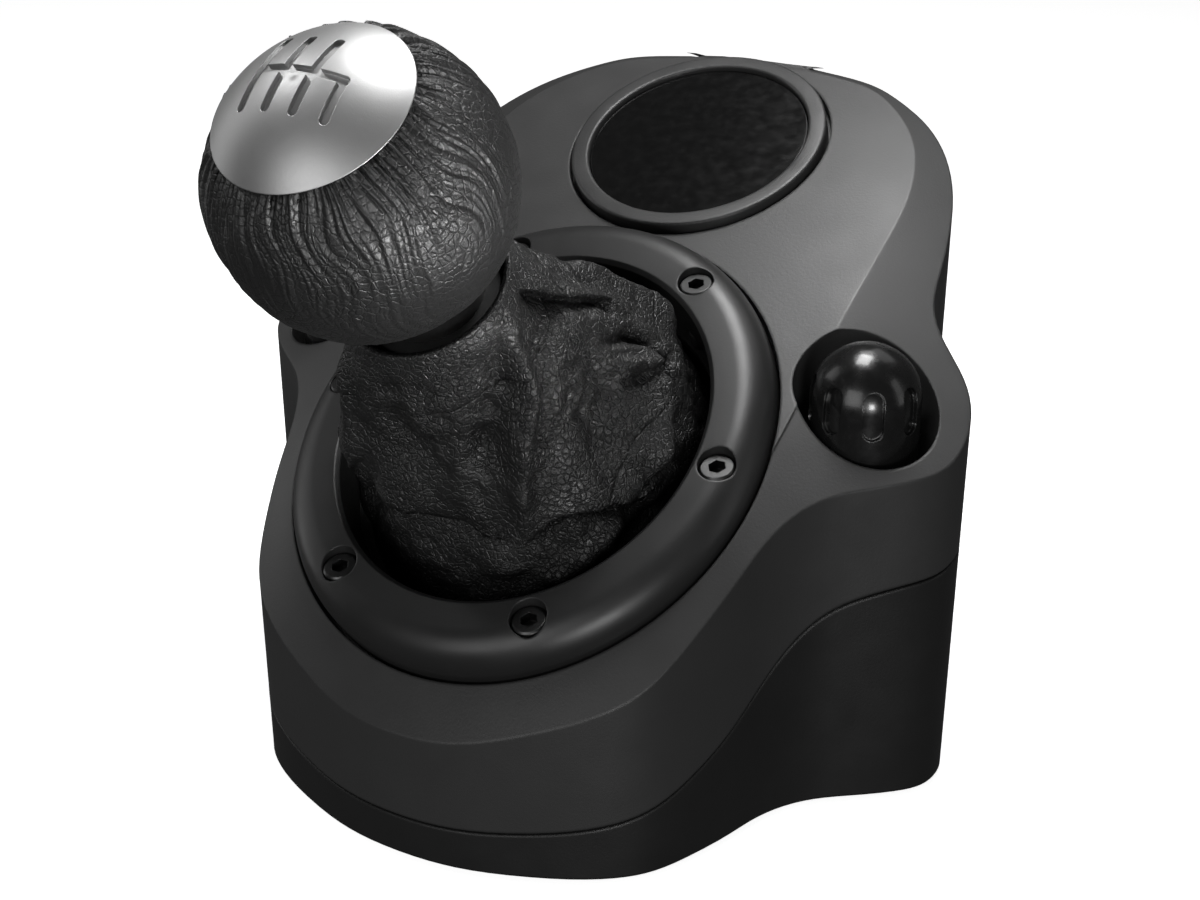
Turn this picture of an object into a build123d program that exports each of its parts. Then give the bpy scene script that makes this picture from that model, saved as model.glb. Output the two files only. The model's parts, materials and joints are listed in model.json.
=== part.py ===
from build123d import *
import os
from math import cos, hypot, pi, radians, sin, sqrt, tan

os.makedirs("parts", exist_ok=True)

# Lengths are in millimetres and angles in degrees.
# X points right, -Y towards the driver, +Z up.
# The origin is on the table under the middle of the whole shifter.

# Housing
HALF_WIDTH = 66.0
BODY_LENGTH = 124.4
FRONT_Y = -51.8
FOOT_STAND = 1.0
WALL = 2.5
ROOF_DROP = 3.0
PANEL_Z = 55.6
PANEL_SLOPE = 0.70
PANEL_BOW_RADIUS = 317.7
SHOULDER_SLOPE = 0.387
SHOULDER_REACH = 34.0
EDGE_BREAK = 0.9
SKY = 190.0
OVERRUN = 1.0
outline_shares = [
    (0, 0), (.159, .008), (.318, .035), (.462, .073), (.552, .114), (.615, .177), (.655, .236),
    (.682, .284), (.721, .327), (.780, .365), (.856, .397), (.935, .431), (.985, .463), (1, .496),
    (.991, .532), (.955, .564), (.903, .587), (.852, .608), (.812, .638), (.795, .677), (.770, .746),
    (.726, .813), (.653, .875), (.570, .918), (.461, .953), (.318, .981), (.159, .995), (0, 1),
]
crease_shares = [
    (0, .063), (.182, .075), (.364, .115), (.5, .183), (.58, .264), (.615, .352), (.626, .44),
    (.627, .553), (.629, .666), (.621, .762), (.585, .826), (.523, .879), (.424, .928), (.303, .956),
    (.152, .973), (0, .978),
]

# Seam between the two housing shells
SEAM_HEIGHT = 62.0
SEAM_GAP = 0.5
LIP_THICK = 1.2
LIP_RISE = 2.2
LIP_ROOT = 3.0
LIP_CLEARANCE = 0.15
seam_shares = [
    (-.17, .111), (.006, .129), (.103, .187), (.199, .281), (.28, .403), (.344, .535), (.392, .61),
    (.457, .652), (.553, .694), (.754, .795), (1.116, 1),
]

# Boot ring and its seat
RING_Y = -13.25
RING_Z = 60.15
RING_TILT = 34.6
RING_STRETCH = 1.07
RING_OUTER = 40.6
RING_INNER = 30.9
RING_CREST = 0.7
RING_DEPTH = 8.6
RING_ROUND = 5.6
RING_CHAMFER = 0.7
RING_GAP = 0.6
SEAT_THICK = 2.5
SEAT_WALL = 2.2
SEAT_LIP = 1.6
SEAT_COLLAR = 5.0
SCREW_CIRCLE = 35.0
SCREW_COUNT = 6
SCREW_TILT = 20.8
HEAD_RADIUS = 2.8
HEAD_HEIGHT = 3.0
HEAD_RECESS = 0.2
SOCKET_ACROSS = 2.5
SOCKET_DEPTH = 1.7
SHANK_RADIUS = 1.45
SHANK_LENGTH = 8.0
THREAD_CLEARANCE = 0.06
BOSS_RADIUS = 2.6

# Round badge on the rear of the panel
BADGE_BACK = 61.4
BADGE_RADIUS = 20.0
BADGE_THICK = 2.2
BADGE_RIM = 3.3
BADGE_RIM_RISE = 0.9
BADGE_RIM_DEPTH = 3.0
BADGE_SINK = 0.9
BADGE_GAP = 0.15
BADGE_GROOVE = 0.7

# Ears, clamp knobs, screws and jaws
EAR_X = 50.0
EAR_Y = 8.6
WELL_RADIUS = 11.8
WELL_STRETCH = 0.82
WELL_WALL = 2.0
WELL_FLOOR_Z = 52.0
WELL_FLOOR = 2.5
KNOB_RADIUS = 8.8
KNOB_TOP_Z = 75.6
KNOB_FLOAT = 0.6
FLUTE_COUNT = 8
FLUTE_TURN = 30
FLUTE_WIDTH = 3.2
FLUTE_LENGTH = 7.6
FLUTE_DEPTH = 0.7
CLAMP_SCREW_RADIUS = 3.0
CLAMP_SCREW_FOOT = 3.4
SCREW_FLANGE = 1.4
KNOB_SHANK = 9.0
RUN_CLEARANCE = 0.06
BUSH_WALL = 1.4
BUSH_FLANGE = 1.6
JAW_BAR_X = 13.0
JAW_BAR_Y = 12.0
JAW_TOP_Z = 41.0
JAW_FOOT_WIDTH = 10.5
JAW_FOOT_IN = 7.75
JAW_FOOT_LENGTH = 32.0
JAW_FOOT_THICK = 5.0
JAW_PAD = 2.0
JAW_SINK = 0.4
JAW_BORE_LOW = 1.6
GUIDE_WALL = 1.8
GUIDE_TOP_Z = 27.0
SLIDE_CLEARANCE = 0.35

# Base plate, feet, posts and weight
BASE_THICK = 2.5
BASE_CLEARANCE = 0.2
FOOT_RADIUS = 6.0
FOOT_SINK = 1.2
foot_shares = [(.41, .2235), (.47, .786)]
POST_RADIUS = 5.2
POST_TOP_Z = 14.0
post_shares = [(.533, .198), (.6, .818)]
CASE_HEAD_RADIUS = 2.9
CASE_HEAD_HEIGHT = 1.5
CASE_SHANK_RADIUS = 1.4
CASE_SHANK_LENGTH = 8.5
RIG_X = 18.0
RIG_Y = 61.0
RIG_BORE = 3.0
RIG_WALL = 1.8
RIG_LENGTH = 6.5
WEIGHT_WIDTH = 54.0
WEIGHT_DEPTH = 16.0
WEIGHT_THICK = 6.0
WEIGHT_Y = 46.0

# Circuit board and cable inlet
BOARD_WIDTH = 44.0
BOARD_DEPTH = 18.0
BOARD_THICK = 1.6
BOARD_Z = 21.0
BOARD_Y = 46.0
STANDOFF_RADIUS = 2.2
GLAND_RADIUS = 4.4
GLAND_BORE = 2.3
GLAND_Z = 16.0
GLAND_FLANGE = 1.6
GLAND_COLLAR = 1.8

# Lever and its gimbal, measured along the lever from the pivot
PIVOT_Y = 2.7
PIVOT_Z = 36.55
LEVER_TILT = 37.0
BALL_CENTRE = 90.0
BALL_RADIUS = 21.3
LEATHER_THICK = 1.8
CAP_ANGLE = 41.2
CAP_PROUD = 0.12
CAP_GAP = 0.15
ROD_RADIUS = 4.0
ROD_BOTTOM = -14.0
ROD_TOP = 84.0
PIN_RADIUS = 1.2
PIN_BOTTOM = -28.4
SWING = 10.0
BLOCK_HALF = 7.0
BLOCK_HALF_HEIGHT = 8.0
TRUNNION_RADIUS = 2.5
YOKE_X = 13.0
YOKE_Y = 13.5
YOKE_WALL = 3.5
YOKE_HALF_HEIGHT = 4.5
FRAME_X = 17.5
FRAME_Y = 17.0
FRAME_WALL = 3.0
FRAME_TOP = 8.0
FRAME_CROSS_HALF = 7.0
FRAME_FOOT_WIDTH = 8.0
FRAME_FOOT_THICK = 2.5
GATE_HEIGHT = -26.0
GATE_THICK = 1.2
GATE_SLOT = 3.2
GATE_MARGIN = 2.4
CLIP_RADIUS = 6.4
CLIP_THICK = 1.6
CLIP_GAP = 0.4
SPRING_WIRE = 1.0
SPRING_RADIUS = 5.7
SPRING_TURNS = 7
SPRING_TOP = 26.0
SPRING_GAP = 0.15
COLLAR_RADIUS = 7.2
COLLAR_THICK = 3.0
KNOB_NUT_RADIUS = 8.0
KNOB_NUT_HEIGHT = 7.2
SENSOR_RADIUS = 6.0
SENSOR_LENGTH = 5.0
ROTARY_RADIUS = 4.5
ROTARY_LENGTH = 3.0
SWITCH_SIZE = 6.0
SWITCH_HEIGHT = -19.0
CORNER_ROUND = 1.0

# Shift pattern cut into the cap
PATTERN_COLUMNS = 4
PATTERN_PITCH = 4.3
PATTERN_LEG = 6.0
PATTERN_STROKE = 1.35
PATTERN_DEPTH = 0.7
PATTERN_SHIFT = 1.4

# Leather boot
BOOT_SIDES = 8
BOOT_THICK = 1.2
BOOT_TOP = 68.0
BOOT_REACH = 30.0
BOOT_NECK = 11.6
NECK_BOTTOM = 60.0
HEM_THICK = 2.0
HEM_WIDTH = 4.0
TIE_BOTTOM = 61.0
TIE_HEIGHT = 2.6
TIE_THICK = 0.9
FIT_GAP = 0.05
# Each row has its height, its swell between the folds and eight radii from the right round by the back.
boot_shares = [
    (.294, 0, .95, .98, 1.01, .98, .95, .97, 1, .97),
    (.353, .02, .95, .98, .99, .93, .90, .90, .90, .93),
    (.412, .03, .92, .98, .96, .86, .82, .78, .76, .84),
    (.456, .04, .89, .98, .94, .82, .76, .70, .68, .80),
    (.515, .05, .80, .90, .86, .76, .68, .64, .60, .72),
    (.574, .06, .72, .80, .78, .70, .68, .69, .60, .66),
    (.632, .06, .65, .72, .70, .64, .68, .70, .64, .62),
    (.691, .06, .58, .64, .62, .58, .60, .64, .60, .56),
    (.75, .05, .51, .56, .54, .52, .52, .57, .53, .50),
    (.824, .03, .44, .47, .46, .44, .45, .48, .45, .43),
]

LEVER = Plane(
    origin=(0, PIVOT_Y, PIVOT_Z),
    x_dir=(1, 0, 0),
    z_dir=(0, -sin(radians(LEVER_TILT)), cos(radians(LEVER_TILT))),
)
RING = Plane(
    origin=(0, RING_Y, RING_Z),
    x_dir=(1, 0, 0),
    z_dir=(0, -sin(radians(RING_TILT)), cos(radians(RING_TILT))),
)
STAND = (Align.CENTER, Align.CENTER, Align.MIN)
SIDES = {"left": -1, "right": 1}


def save(shape, name):
    export_step(shape, f"parts/{name}.step")


def both_sides(shape):
    return shape + mirror(shape, about=Plane.YZ)


def tube(outer, bore, bottom, top):
    body = Pos(0, 0, bottom) * Cylinder(outer, top - bottom, align=STAND)
    cut = Pos(0, 0, bottom - OVERRUN) * Cylinder(bore, top - bottom + 2 * OVERRUN, align=STAND)
    return body - cut


# Housing curves
def panel_height(y):
    s = y - RING_Y
    return PANEL_Z + PANEL_SLOPE * s - s * s / (2 * PANEL_BOW_RADIUS)


def outward(points):
    """Unit normals of a half loop that is mirrored about the middle plane."""
    last = len(points) - 1
    normals = []
    for i in range(len(points)):
        x0, y0 = points[i - 1] if i else (-points[1][0], points[1][1])
        x1, y1 = points[i + 1] if i < last else (-points[last - 1][0], points[last - 1][1])
        length = hypot(x1 - x0, y1 - y0)
        normals.append(((y1 - y0) / length, (x0 - x1) / length))
    return normals


def half_loop(shares):
    return [(a * HALF_WIDTH, FRONT_Y + b * BODY_LENGTH) for a, b in shares]


def crease_gap(x, y):
    """Distance from a place in plan to the crease round the middle panel."""
    loop = half_loop(crease_shares)
    best = BODY_LENGTH
    for (x0, y0), (x1, y1) in zip(loop, loop[1:]):
        dx = x1 - x0
        dy = y1 - y0
        t = max(0, min(1, ((x - x0) * dx + (y - y0) * dy) / (dx * dx + dy * dy)))
        best = min(best, hypot(x - x0 - t * dx, y - y0 - t * dy))
    return best


def half_spline(points):
    return Spline(*points, tangents=[(1, 0, 0), (-1, 0, 0)])


def plan_prism(inset, bottom, top):
    points = half_loop(outline_shares)
    normals = outward(points)
    moved = [(x - nx * inset, y - ny * inset, bottom) for (x, y), (nx, ny) in zip(points, normals)]
    half = half_spline(moved)
    face = make_face(half + mirror(half, about=Plane.YZ))
    return extrude(face, amount=top - bottom, dir=(0, 0, 1))


def above_panel(drop):
    front = FRONT_Y - SHOULDER_REACH
    back = FRONT_Y + BODY_LENGTH + SHOULDER_REACH
    middle = (front + back) / 2
    side = -2 * HALF_WIDTH
    low, mid, high = [(side, y, panel_height(y) - drop) for y in (front, middle, back)]
    outline = ThreePointArc(low, mid, high) + Polyline(high, (side, back, SKY), (side, front, SKY), low)
    return extrude(make_face(outline), amount=4 * HALF_WIDTH, dir=(1, 0, 0))


def above_shoulder(drop):
    loop = half_loop(crease_shares)
    inner = [(x, y, panel_height(y) - drop) for x, y in loop]
    outer = []
    for (x, y), (nx, ny) in zip(loop, outward(loop)):
        far = y + ny * SHOULDER_REACH
        height = panel_height(far) - SHOULDER_SLOPE * SHOULDER_REACH - drop
        outer.append((x + nx * SHOULDER_REACH, far, height))
    face = Face.make_surface_from_curves(half_spline(inner).edge(), half_spline(outer).edge())
    return extrude(face, amount=SKY, dir=(0, 0, 1))


def above_edge():
    """What a chamfer along the top edge takes away."""
    points = half_loop(outline_shares)
    normals = outward(points)
    reach = 4 * EDGE_BREAK
    inner = []
    outer = []
    for (x, y), (nx, ny) in zip(points, normals):
        in_x = x - nx * EDGE_BREAK
        in_y = y - ny * EDGE_BREAK
        height = panel_height(in_y) - SHOULDER_SLOPE * crease_gap(in_x, in_y)
        inner.append((in_x, in_y, height))
        outer.append((x + nx * reach, y + ny * reach, height - (EDGE_BREAK + reach) * (1 + SHOULDER_SLOPE)))
    face = Face.make_surface_from_curves(half_spline(inner).edge(), half_spline(outer).edge())
    return extrude(face, amount=SKY, dir=(0, 0, 1))


def half_block(inset, drop, bottom, with_edge):
    """Right half of the solid under the panel and the shoulders."""
    keep = Pos(0, FRONT_Y + BODY_LENGTH / 2, 0) * Box(
        2 * HALF_WIDTH, 2 * BODY_LENGTH, 2 * SKY, align=(Align.MIN, Align.CENTER, Align.CENTER)
    )
    block = (plan_prism(inset, bottom, SKY) & keep) - above_panel(drop)
    block = block - above_shoulder(drop)
    if with_edge:
        block = block - above_edge()
    return block


def from_seam(shift, far):
    """Everything between the seam, moved up by shift, and the height far."""
    side = -2 * HALF_WIDTH
    points = [(side, FRONT_Y + a * BODY_LENGTH, b * SEAM_HEIGHT + shift) for a, b in seam_shares]
    front, back = points[0], points[-1]
    outline = Spline(*points) + Polyline(back, (side, back[1], far), (side, front[1], far), front)
    return extrude(make_face(outline), amount=4 * HALF_WIDTH, dir=(1, 0, 0))


def ring_ellipse(radius, low, high):
    face = Ellipse(radius, radius * RING_STRETCH)
    return RING * Pos(0, 0, low) * extrude(face, amount=high - low)


def screw_frames():
    """Places of the ring screws, with Z along each screw."""
    frames = []
    for i in range(SCREW_COUNT):
        angle = 2 * pi * i / SCREW_COUNT
        at = RING.from_local_coords((SCREW_CIRCLE * cos(angle), SCREW_CIRCLE * RING_STRETCH * sin(angle), 0))
        axis = (0, -sin(radians(SCREW_TILT)), cos(radians(SCREW_TILT)))
        frames.append(Plane(origin=at, x_dir=(1, 0, 0), z_dir=axis))
    return frames


def badge_plane():
    slope = PANEL_SLOPE - BADGE_BACK / PANEL_BOW_RADIUS
    y = RING_Y + BADGE_BACK
    return Plane(origin=(0, y, panel_height(y)), x_dir=(1, 0, 0), z_dir=(0, -slope, 1))


def well_prism(side, wall, bottom):
    """The well of a clamp knob, with a wall round it, from bottom upwards."""
    face = Ellipse(WELL_RADIUS + wall, WELL_RADIUS * WELL_STRETCH + wall)
    return Pos(side * EAR_X, EAR_Y, bottom) * extrude(face, amount=SKY)


# Housing shells
def make_shells():
    outer = half_block(0, 0, FOOT_STAND, True)
    inner = half_block(WALL, ROOF_DROP, FOOT_STAND - OVERRUN, False)
    shell = outer - inner
    whole = both_sides(outer)
    return top_shell(shell, whole), lower_shell(outer)


def top_shell(shell, whole):
    top = both_sides(shell - from_seam(SEAM_GAP / 2, -SKY))
    seat_low = -RING_DEPTH - SEAT_THICK
    seat = ring_ellipse(RING_OUTER + RING_GAP + SEAT_WALL, seat_low, -SEAT_COLLAR)
    top = top + (seat & whole) - ring_ellipse(RING_INNER + SEAT_LIP, seat_low - OVERRUN, BALL_CENTRE)
    for frame in screw_frames():
        post = Pos(0, 0, -2 * RING_DEPTH) * Cylinder(BOSS_RADIUS, 2 * RING_DEPTH, align=STAND)
        top = top + (frame * post & seat)
    badge = badge_plane()
    recess = BADGE_RADIUS + BADGE_RIM + BADGE_GROOVE
    pad = Pos(0, 0, -BADGE_RIM_DEPTH - WALL) * Cylinder(recess + WALL, BADGE_RIM_DEPTH, align=STAND)
    top = top + (badge * pad & whole)
    for side in SIDES.values():
        top = top + (well_prism(side, WELL_WALL, WELL_FLOOR_Z - WELL_FLOOR) & whole)
    top = top - ring_ellipse(RING_OUTER + RING_GAP, -RING_DEPTH, BALL_CENTRE)
    for frame in screw_frames():
        bore = Cylinder(SHANK_RADIUS + THREAD_CLEARANCE, 2 * RING_DEPTH, align=STAND)
        top = top - frame * Pos(0, 0, -2 * RING_DEPTH) * bore
    top = top - badge * Pos(0, 0, -BADGE_RIM_DEPTH) * Cylinder(recess, 2 * BADGE_RIM_DEPTH, align=STAND)
    for side in SIDES.values():
        top = top - well_prism(side, 0, WELL_FLOOR_Z)
        top = top - Pos(side * EAR_X, EAR_Y, 0) * Cylinder(bush_radius(), SKY, align=STAND)
    return top


def lower_shell(outer):
    """The wall below the seam, its inner lip, the screw posts and the hole for the cable inlet."""
    low = FOOT_STAND - OVERRUN
    lower = outer - plan_prism(WALL + LIP_THICK, low, SKY) - from_seam(LIP_RISE, SKY)
    lower = lower - (plan_prism(WALL, low, SKY) - from_seam(-LIP_ROOT, SKY))
    beside = plan_prism(-OVERRUN, low, SKY) - plan_prism(WALL + LIP_CLEARANCE, low, SKY)
    lower = both_sides(lower - (beside - from_seam(-SEAM_GAP / 2, -SKY)))
    floor = FOOT_STAND + BASE_THICK
    for x, y in half_loop(post_shares):
        for side in SIDES.values():
            post = Pos(side * x, y, floor) * Cylinder(POST_RADIUS, POST_TOP_Z - floor, align=STAND)
            lower = lower + (post & plan_prism(WALL / 2, FOOT_STAND, SKY))
            lower = lower - Pos(side * x, y, 0) * Cylinder(
                CASE_SHANK_RADIUS + THREAD_CLEARANCE, POST_TOP_Z - WALL, align=STAND
            )
    for side in SIDES.values():
        below = WELL_FLOOR_Z - WELL_FLOOR - LIP_CLEARANCE
        lower = lower - well_prism(side, WELL_WALL + LIP_CLEARANCE, below)
    hole = Cylinder(GLAND_RADIUS, 4 * WALL, rotation=(90, 0, 0))
    return lower - Pos(0, FRONT_Y + BODY_LENGTH - WALL, GLAND_Z) * hole


# Boot ring and the things on it
def make_ring():
    body = Ellipse(RING_OUTER, RING_OUTER * RING_STRETCH)
    body = extrude(body, amount=RING_DEPTH + RING_CREST)
    hole = extrude(Ellipse(RING_INNER, RING_INNER * RING_STRETCH), amount=RING_DEPTH + RING_CREST)
    body = fillet(body.edges().group_by(Axis.Z)[-1], RING_ROUND)
    body = body - hole
    limit = 2 * RING_INNER + RING_CHAMFER
    inner_edge = [e for e in body.edges().group_by(Axis.Z)[-1] if e.bounding_box().size.X < limit]
    body = chamfer(inner_edge, RING_CHAMFER)
    ring = RING * Pos(0, 0, -RING_DEPTH) * body
    for frame in screw_frames():
        head = Pos(0, 0, -HEAD_HEIGHT) * Cylinder(HEAD_RADIUS + HEAD_RECESS, 4 * HEAD_HEIGHT, align=STAND)
        shank = Cylinder(SHANK_RADIUS + HEAD_RECESS, 4 * RING_DEPTH, align=STAND)
        ring = ring - frame * head - frame * Pos(0, 0, -2 * RING_DEPTH) * shank
    return ring


def socket_screw(head_radius, head_height, shank_radius, shank_length):
    head = Pos(0, 0, -head_height) * Cylinder(head_radius, head_height, align=STAND)
    rim = head.edges().group_by(Axis.Z)[-1]
    head = chamfer(rim, head_height / 10)
    shank = Pos(0, 0, -head_height - shank_length) * Cylinder(shank_radius, shank_length, align=STAND)
    hexagon = RegularPolygon(SOCKET_ACROSS / 2, 6, major_radius=False)
    socket = Pos(0, 0, -SOCKET_DEPTH) * extrude(hexagon, amount=SOCKET_DEPTH + OVERRUN)
    return head + shank - socket


def make_ring_screws():
    screw = socket_screw(HEAD_RADIUS, HEAD_HEIGHT, SHANK_RADIUS, SHANK_LENGTH)
    return Compound(children=[frame * screw for frame in screw_frames()])


def make_hem_frame():
    top = -RING_DEPTH - SEAT_THICK
    outer = ring_ellipse(RING_INNER + SEAT_LIP + HEM_WIDTH / 2, top - HEM_THICK, top)
    inner = RING_INNER - HEM_WIDTH / 4 + FIT_GAP
    return outer - ring_ellipse(inner, top - HEM_THICK - OVERRUN, top + OVERRUN)


# Badge
def make_badge_rim():
    badge = badge_plane()
    rim = tube(BADGE_RADIUS + BADGE_RIM, BADGE_RADIUS + BADGE_GAP, -BADGE_RIM_DEPTH, BADGE_RIM_RISE)
    top_edges = rim.edges().group_by(Axis.Z)[-1]
    rim = fillet(top_edges, BADGE_RIM_RISE / 2)
    return badge * rim


def make_badge_disc():
    top = BADGE_RIM_RISE - BADGE_SINK
    disc = Pos(0, 0, top - BADGE_THICK) * Cylinder(BADGE_RADIUS, BADGE_THICK, align=STAND)
    return badge_plane() * chamfer(disc.edges().group_by(Axis.Z)[-1], BADGE_GAP)


def make_badge_backing():
    top = BADGE_RIM_RISE - BADGE_SINK - BADGE_THICK
    disc = Cylinder(BADGE_RADIUS, top + BADGE_RIM_DEPTH, align=STAND)
    return badge_plane() * Pos(0, 0, -BADGE_RIM_DEPTH) * disc


# Clamps at the ears
def bush_radius():
    return CLAMP_SCREW_RADIUS + RUN_CLEARANCE + BUSH_WALL


def make_clamp_bush(side):
    bottom = WELL_FLOOR_Z - WELL_FLOOR
    sleeve = Cylinder(bush_radius(), WELL_FLOOR, align=STAND)
    flange = Pos(0, 0, -BUSH_FLANGE) * Cylinder(bush_radius() + BUSH_FLANGE, BUSH_FLANGE, align=STAND)
    bore = Pos(0, 0, -2 * BUSH_FLANGE) * Cylinder(CLAMP_SCREW_RADIUS + RUN_CLEARANCE, SKY, align=STAND)
    return Pos(side * EAR_X, EAR_Y, bottom) * (sleeve + flange - bore)


def make_clamp_screw(side):
    top = WELL_FLOOR_Z + KNOB_FLOAT + SCREW_FLANGE + KNOB_SHANK
    rod = Pos(0, 0, CLAMP_SCREW_FOOT) * Cylinder(CLAMP_SCREW_RADIUS, top - CLAMP_SCREW_FOOT, align=STAND)
    rod = chamfer(rod.edges().group_by(Axis.Z)[0], SCREW_FLANGE / 2)
    flange = Pos(0, 0, WELL_FLOOR_Z + KNOB_FLOAT / 2) * Cylinder(
        bush_radius() + BUSH_FLANGE, SCREW_FLANGE, align=STAND
    )
    return Pos(side * EAR_X, EAR_Y, 0) * (rod + flange)


def knob_body(radius, height):
    """A round post with a half-ball top."""
    bend = radius * sqrt(1 / 2)
    side = Polyline((0, height + radius), (0, 0), (radius, 0), (radius, height))
    dome = ThreePointArc((radius, height), (bend, height + bend), (0, height + radius))
    return revolve(Plane.XZ * make_face(side + dome), axis=Axis.Z)


def knob_notch(turn, height):
    notch = Rot(0, 90, 0) * extrude(SlotOverall(FLUTE_LENGTH, FLUTE_WIDTH), amount=2 * KNOB_RADIUS)
    return Rot(0, 0, turn) * (Pos(0, 0, height) * notch - knob_body(KNOB_RADIUS - FLUTE_DEPTH, height))


def make_clamp_knob(side):
    bottom = WELL_FLOOR_Z + KNOB_FLOAT / 2 + SCREW_FLANGE
    height = KNOB_TOP_Z - bottom - KNOB_RADIUS
    knob = knob_body(KNOB_RADIUS, height)
    for i in range(FLUTE_COUNT):
        knob = knob - knob_notch(FLUTE_TURN + 360 * i / FLUTE_COUNT, height)
    knob = knob - Cylinder(CLAMP_SCREW_RADIUS, KNOB_SHANK + KNOB_FLOAT / 2, align=STAND)
    return Pos(side * EAR_X, EAR_Y, bottom) * knob


def make_clamp_jaw(side):
    bar = Box(JAW_BAR_X, JAW_BAR_Y, JAW_TOP_Z, align=STAND)
    foot = Pos(-side * JAW_FOOT_IN, 0, 0) * Box(
        JAW_FOOT_WIDTH, JAW_FOOT_LENGTH, JAW_FOOT_THICK, align=(Align.CENTER, Align.MIN, Align.MIN)
    )
    tip = foot.edges().filter_by(Axis.Z).sort_by(Axis.Y)[-2:]
    jaw = bar + fillet(tip, JAW_FOOT_THICK / 2)
    bore = Pos(0, 0, JAW_BORE_LOW) * Cylinder(CLAMP_SCREW_RADIUS + RUN_CLEARANCE, SKY, align=STAND)
    return Pos(side * EAR_X, EAR_Y, FOOT_STAND + JAW_SINK) * (jaw - bore)


def make_clamp_pad(side):
    start = JAW_BAR_Y / 2 + JAW_PAD
    pad = Box(JAW_FOOT_WIDTH, JAW_FOOT_LENGTH - start, JAW_PAD, align=(Align.CENTER, Align.MIN, Align.MIN))
    pad = fillet(pad.edges().filter_by(Axis.Z).sort_by(Axis.Y)[-2:], JAW_FOOT_THICK / 2)
    height = FOOT_STAND + JAW_SINK + JAW_FOOT_THICK
    return Pos(side * (EAR_X - JAW_FOOT_IN), EAR_Y + start, height) * pad


# Base plate and what is fixed to it
def add_clamp_guide(plate, side):
    """A guide for the jaw of one clamp, with the slot that its foot is drawn into."""
    guide_x = JAW_BAR_X + 2 * (SLIDE_CLEARANCE + GUIDE_WALL)
    guide_y = JAW_BAR_Y + 2 * (SLIDE_CLEARANCE + GUIDE_WALL)
    guide = Box(guide_x, guide_y, GUIDE_TOP_Z - FOOT_STAND, align=STAND)
    guide = Pos(side * EAR_X, EAR_Y, FOOT_STAND) * guide
    plate = plate + (guide & plan_prism(WALL + LIP_THICK + BASE_CLEARANCE, FOOT_STAND, SKY))
    hole = Box(JAW_BAR_X + 2 * SLIDE_CLEARANCE, JAW_BAR_Y + 2 * SLIDE_CLEARANCE, SKY, align=STAND)
    slot = Box(
        JAW_FOOT_WIDTH + 2 * SLIDE_CLEARANCE,
        JAW_FOOT_LENGTH + SLIDE_CLEARANCE,
        FOOT_STAND + JAW_SINK + JAW_FOOT_THICK + JAW_PAD + SLIDE_CLEARANCE,
        align=(Align.CENTER, Align.MIN, Align.MIN),
    )
    plate = plate - Pos(side * EAR_X, EAR_Y, 0) * hole
    return plate - Pos(side * (EAR_X - JAW_FOOT_IN), EAR_Y, 0) * slot


def cut_screw_and_foot_places(plate):
    for side in SIDES.values():
        for x, y in half_loop(post_shares):
            sink = Cylinder(CASE_HEAD_RADIUS + BASE_CLEARANCE, FOOT_STAND + CASE_HEAD_HEIGHT, align=STAND)
            hole = Cylinder(CASE_SHANK_RADIUS + BASE_CLEARANCE, SKY, align=STAND)
            plate = plate - Pos(side * x, y, 0) * sink - Pos(side * x, y, 0) * hole
        for x, y in half_loop(foot_shares):
            pocket = Cylinder(FOOT_RADIUS, FOOT_STAND + FOOT_SINK, align=STAND)
            plate = plate - Pos(side * x, y, 0) * pocket
    for x, y in frame_screw_places():
        bore = Cylinder(CASE_SHANK_RADIUS + THREAD_CLEARANCE, BASE_THICK, align=STAND)
        plate = plate - Pos(x, y, FOOT_STAND + BASE_THICK / 3) * bore
    return plate


def make_base_plate():
    floor = FOOT_STAND + BASE_THICK
    plate = plan_prism(WALL + BASE_CLEARANCE, FOOT_STAND, floor)
    for side in SIDES.values():
        plate = add_clamp_guide(plate, side)
    plate = cut_screw_and_foot_places(plate)
    for side in SIDES.values():
        boss = Cylinder(RIG_BORE + 2 * RIG_WALL, RIG_LENGTH + BASE_CLEARANCE, align=STAND)
        bore = Cylinder(RIG_BORE + RIG_WALL, SKY, align=STAND)
        plate = plate + Pos(side * RIG_X, RIG_Y, FOOT_STAND) * boss
        plate = plate - Pos(side * RIG_X, RIG_Y, 0) * bore
    for x, y in standoff_places():
        plate = plate + Pos(x, y, floor) * Cylinder(STANDOFF_RADIUS, BOARD_Z - floor, align=STAND)
    return plate


def make_feet():
    pads = []
    for x, y in half_loop(foot_shares):
        for side in SIDES.values():
            pad = Cylinder(FOOT_RADIUS - BASE_CLEARANCE, FOOT_STAND + FOOT_SINK, align=STAND)
            pad = chamfer(pad.edges().group_by(Axis.Z)[0], FOOT_STAND / 2)
            pads.append(Pos(side * x, y, 0) * pad)
    return Compound(children=pads)


def make_case_screws():
    screws = []
    for x, y in half_loop(post_shares):
        for side in SIDES.values():
            screw = socket_screw(CASE_HEAD_RADIUS, CASE_HEAD_HEIGHT, CASE_SHANK_RADIUS, CASE_SHANK_LENGTH)
            screws.append(Pos(side * x, y, FOOT_STAND) * Rot(180, 0, 0) * screw)
    return Compound(children=screws)


def make_rig_inserts():
    inserts = []
    for side in SIDES.values():
        insert = tube(RIG_BORE + RIG_WALL, RIG_BORE, FOOT_STAND, FOOT_STAND + RIG_LENGTH)
        inserts.append(Pos(side * RIG_X, RIG_Y, 0) * insert)
    return Compound(children=inserts)


def make_weight():
    floor = FOOT_STAND + BASE_THICK
    block = Pos(0, WEIGHT_Y, floor) * Box(WEIGHT_WIDTH, WEIGHT_DEPTH, WEIGHT_THICK, align=STAND)
    for x, y in standoff_places():
        block = block - Pos(x, y, 0) * Cylinder(STANDOFF_RADIUS + BASE_CLEARANCE, SKY, align=STAND)
    return block


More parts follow.
